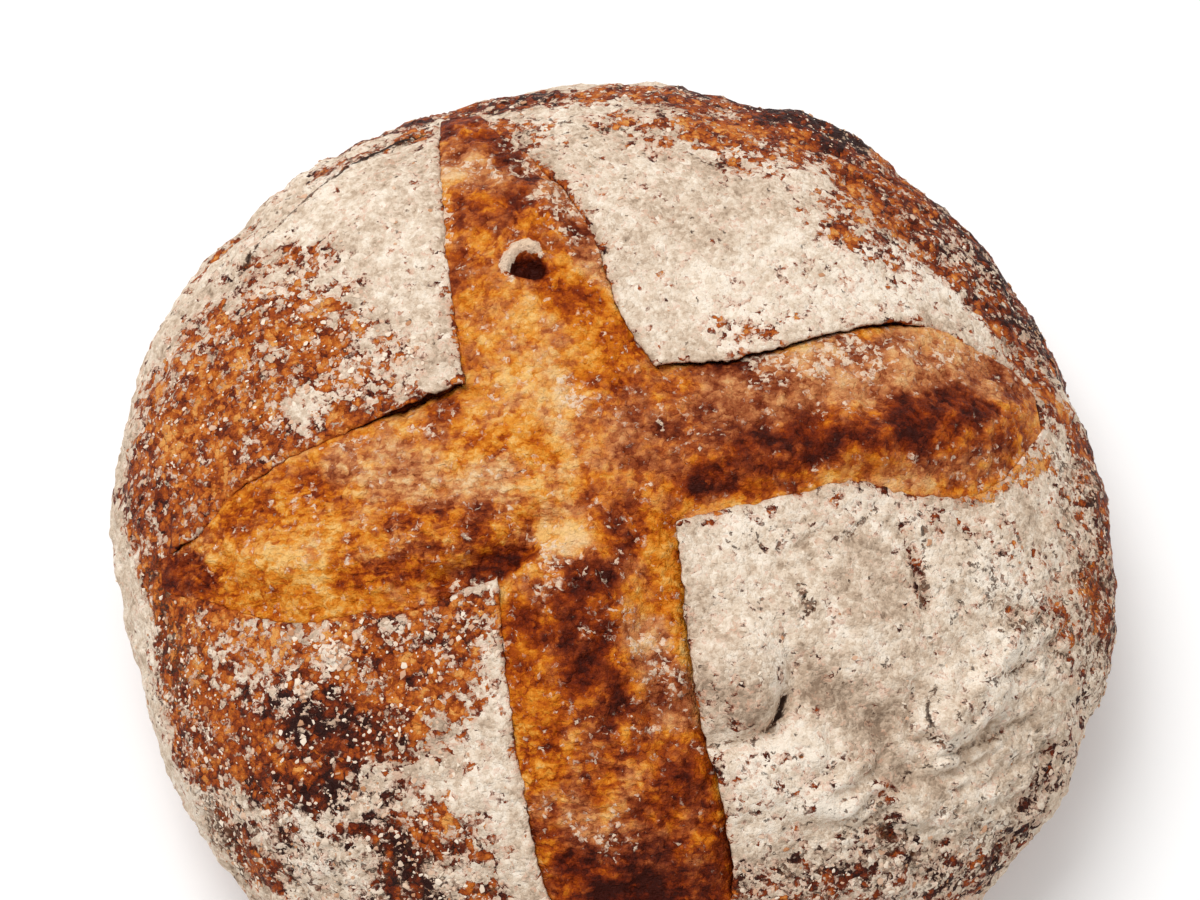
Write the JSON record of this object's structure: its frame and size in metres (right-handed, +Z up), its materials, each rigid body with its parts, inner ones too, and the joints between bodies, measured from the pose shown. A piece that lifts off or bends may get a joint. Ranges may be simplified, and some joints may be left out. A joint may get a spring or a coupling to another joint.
{
  "type": "sourdough loaf",
  "caption": "Round country loaf of bread with a domed crust, opened by two crossing cuts, on a flat sole.",
  "frame": {"origin": "middle of the loaf's footprint, on the surface that the flat sole rests on", "axes": "+Z up out of the crown, +X to the loaf's right, -Y towards its front, where the long cut ends"},
  "size_m": [0.2397, 0.2416, 0.0941],
  "materials": {
    "crust": null
  },
  "bodies": {
    "root": {"loaf": "crust"}
  },
  "joints": []
}
